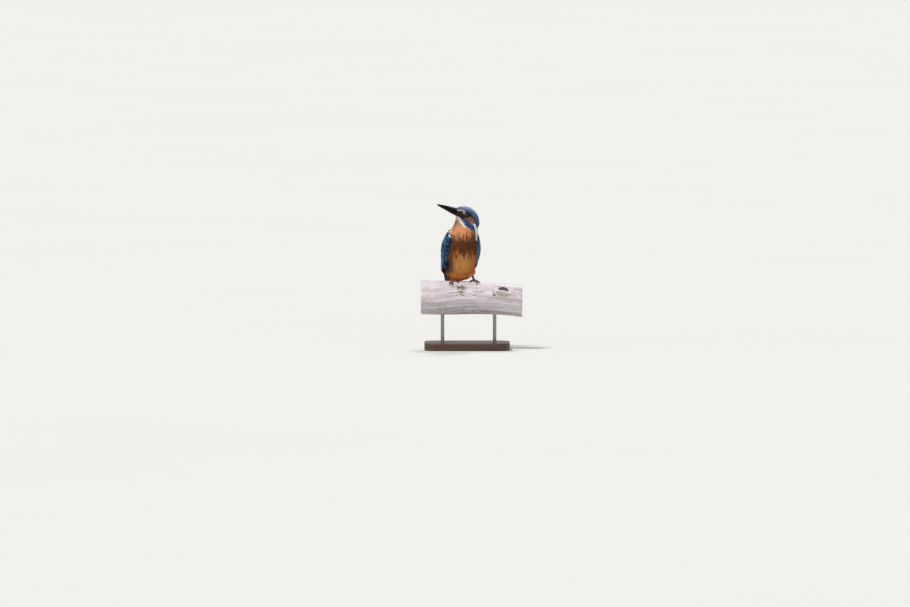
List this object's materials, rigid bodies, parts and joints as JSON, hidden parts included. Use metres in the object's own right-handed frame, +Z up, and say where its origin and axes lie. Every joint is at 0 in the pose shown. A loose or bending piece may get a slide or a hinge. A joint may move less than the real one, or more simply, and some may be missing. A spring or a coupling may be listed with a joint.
{
  "type": "kingfisher bird figure",
  "caption": "Still life-size common kingfisher with dagger bill and turned head, gripping a cut length of bare driftwood on a flat two-rod display stand.",
  "frame": {"origin": "centre of the stand base's flat underside", "axes": "+Z up; -Y is the front of the stand, to which the breast is turned, 21 degrees towards +X; X runs along the perch, whose lower end is at +X"},
  "size_m": [0.14, 0.0864, 0.2018],
  "materials": {
    "base": "dark stained and satin varnished",
    "rod": "fine brushed",
    "perch": "bare weathered driftwood, dry and matt",
    "crown": "short blue feathers with paler bars, orange cheeks and a soft sheen",
    "neck": "cream throat and white side patches of short feathers",
    "breast": "orange feathers with a dusky breast band",
    "tail": "dark blue flight feathers",
    "wing": "teal blue feathers with paler spots and a soft sheen",
    "eye": "wet dark brown",
    "horn": "smooth black horn with a soft gloss",
    "foot": "scaled dusky pink-brown skin"
  },
  "bodies": {
    "root": {"stand_base": "base", "stand_rod_left": "rod", "stand_rod_right": "rod", "perch": "perch", "head": "crown", "neck": "neck", "trunk": "breast", "tail": "tail", "eye_left": "eye", "eye_right": "eye", "bill_upper": "horn", "bill_lower": "horn", "leg_left": "breast", "leg_right": "breast", "foot_left": "foot", "foot_right": "foot", "wing_left": "wing", "wing_right": "wing", "wingtip_left": "wing", "wingtip_right": "wing", "claw_left_inner": "horn", "claw_left_middle": "horn", "claw_left_outer": "horn", "claw_left_hind": "horn", "claw_right_inner": "horn", "claw_right_middle": "horn", "claw_right_outer": "horn", "claw_right_hind": "horn"}
  },
  "joints": []
}
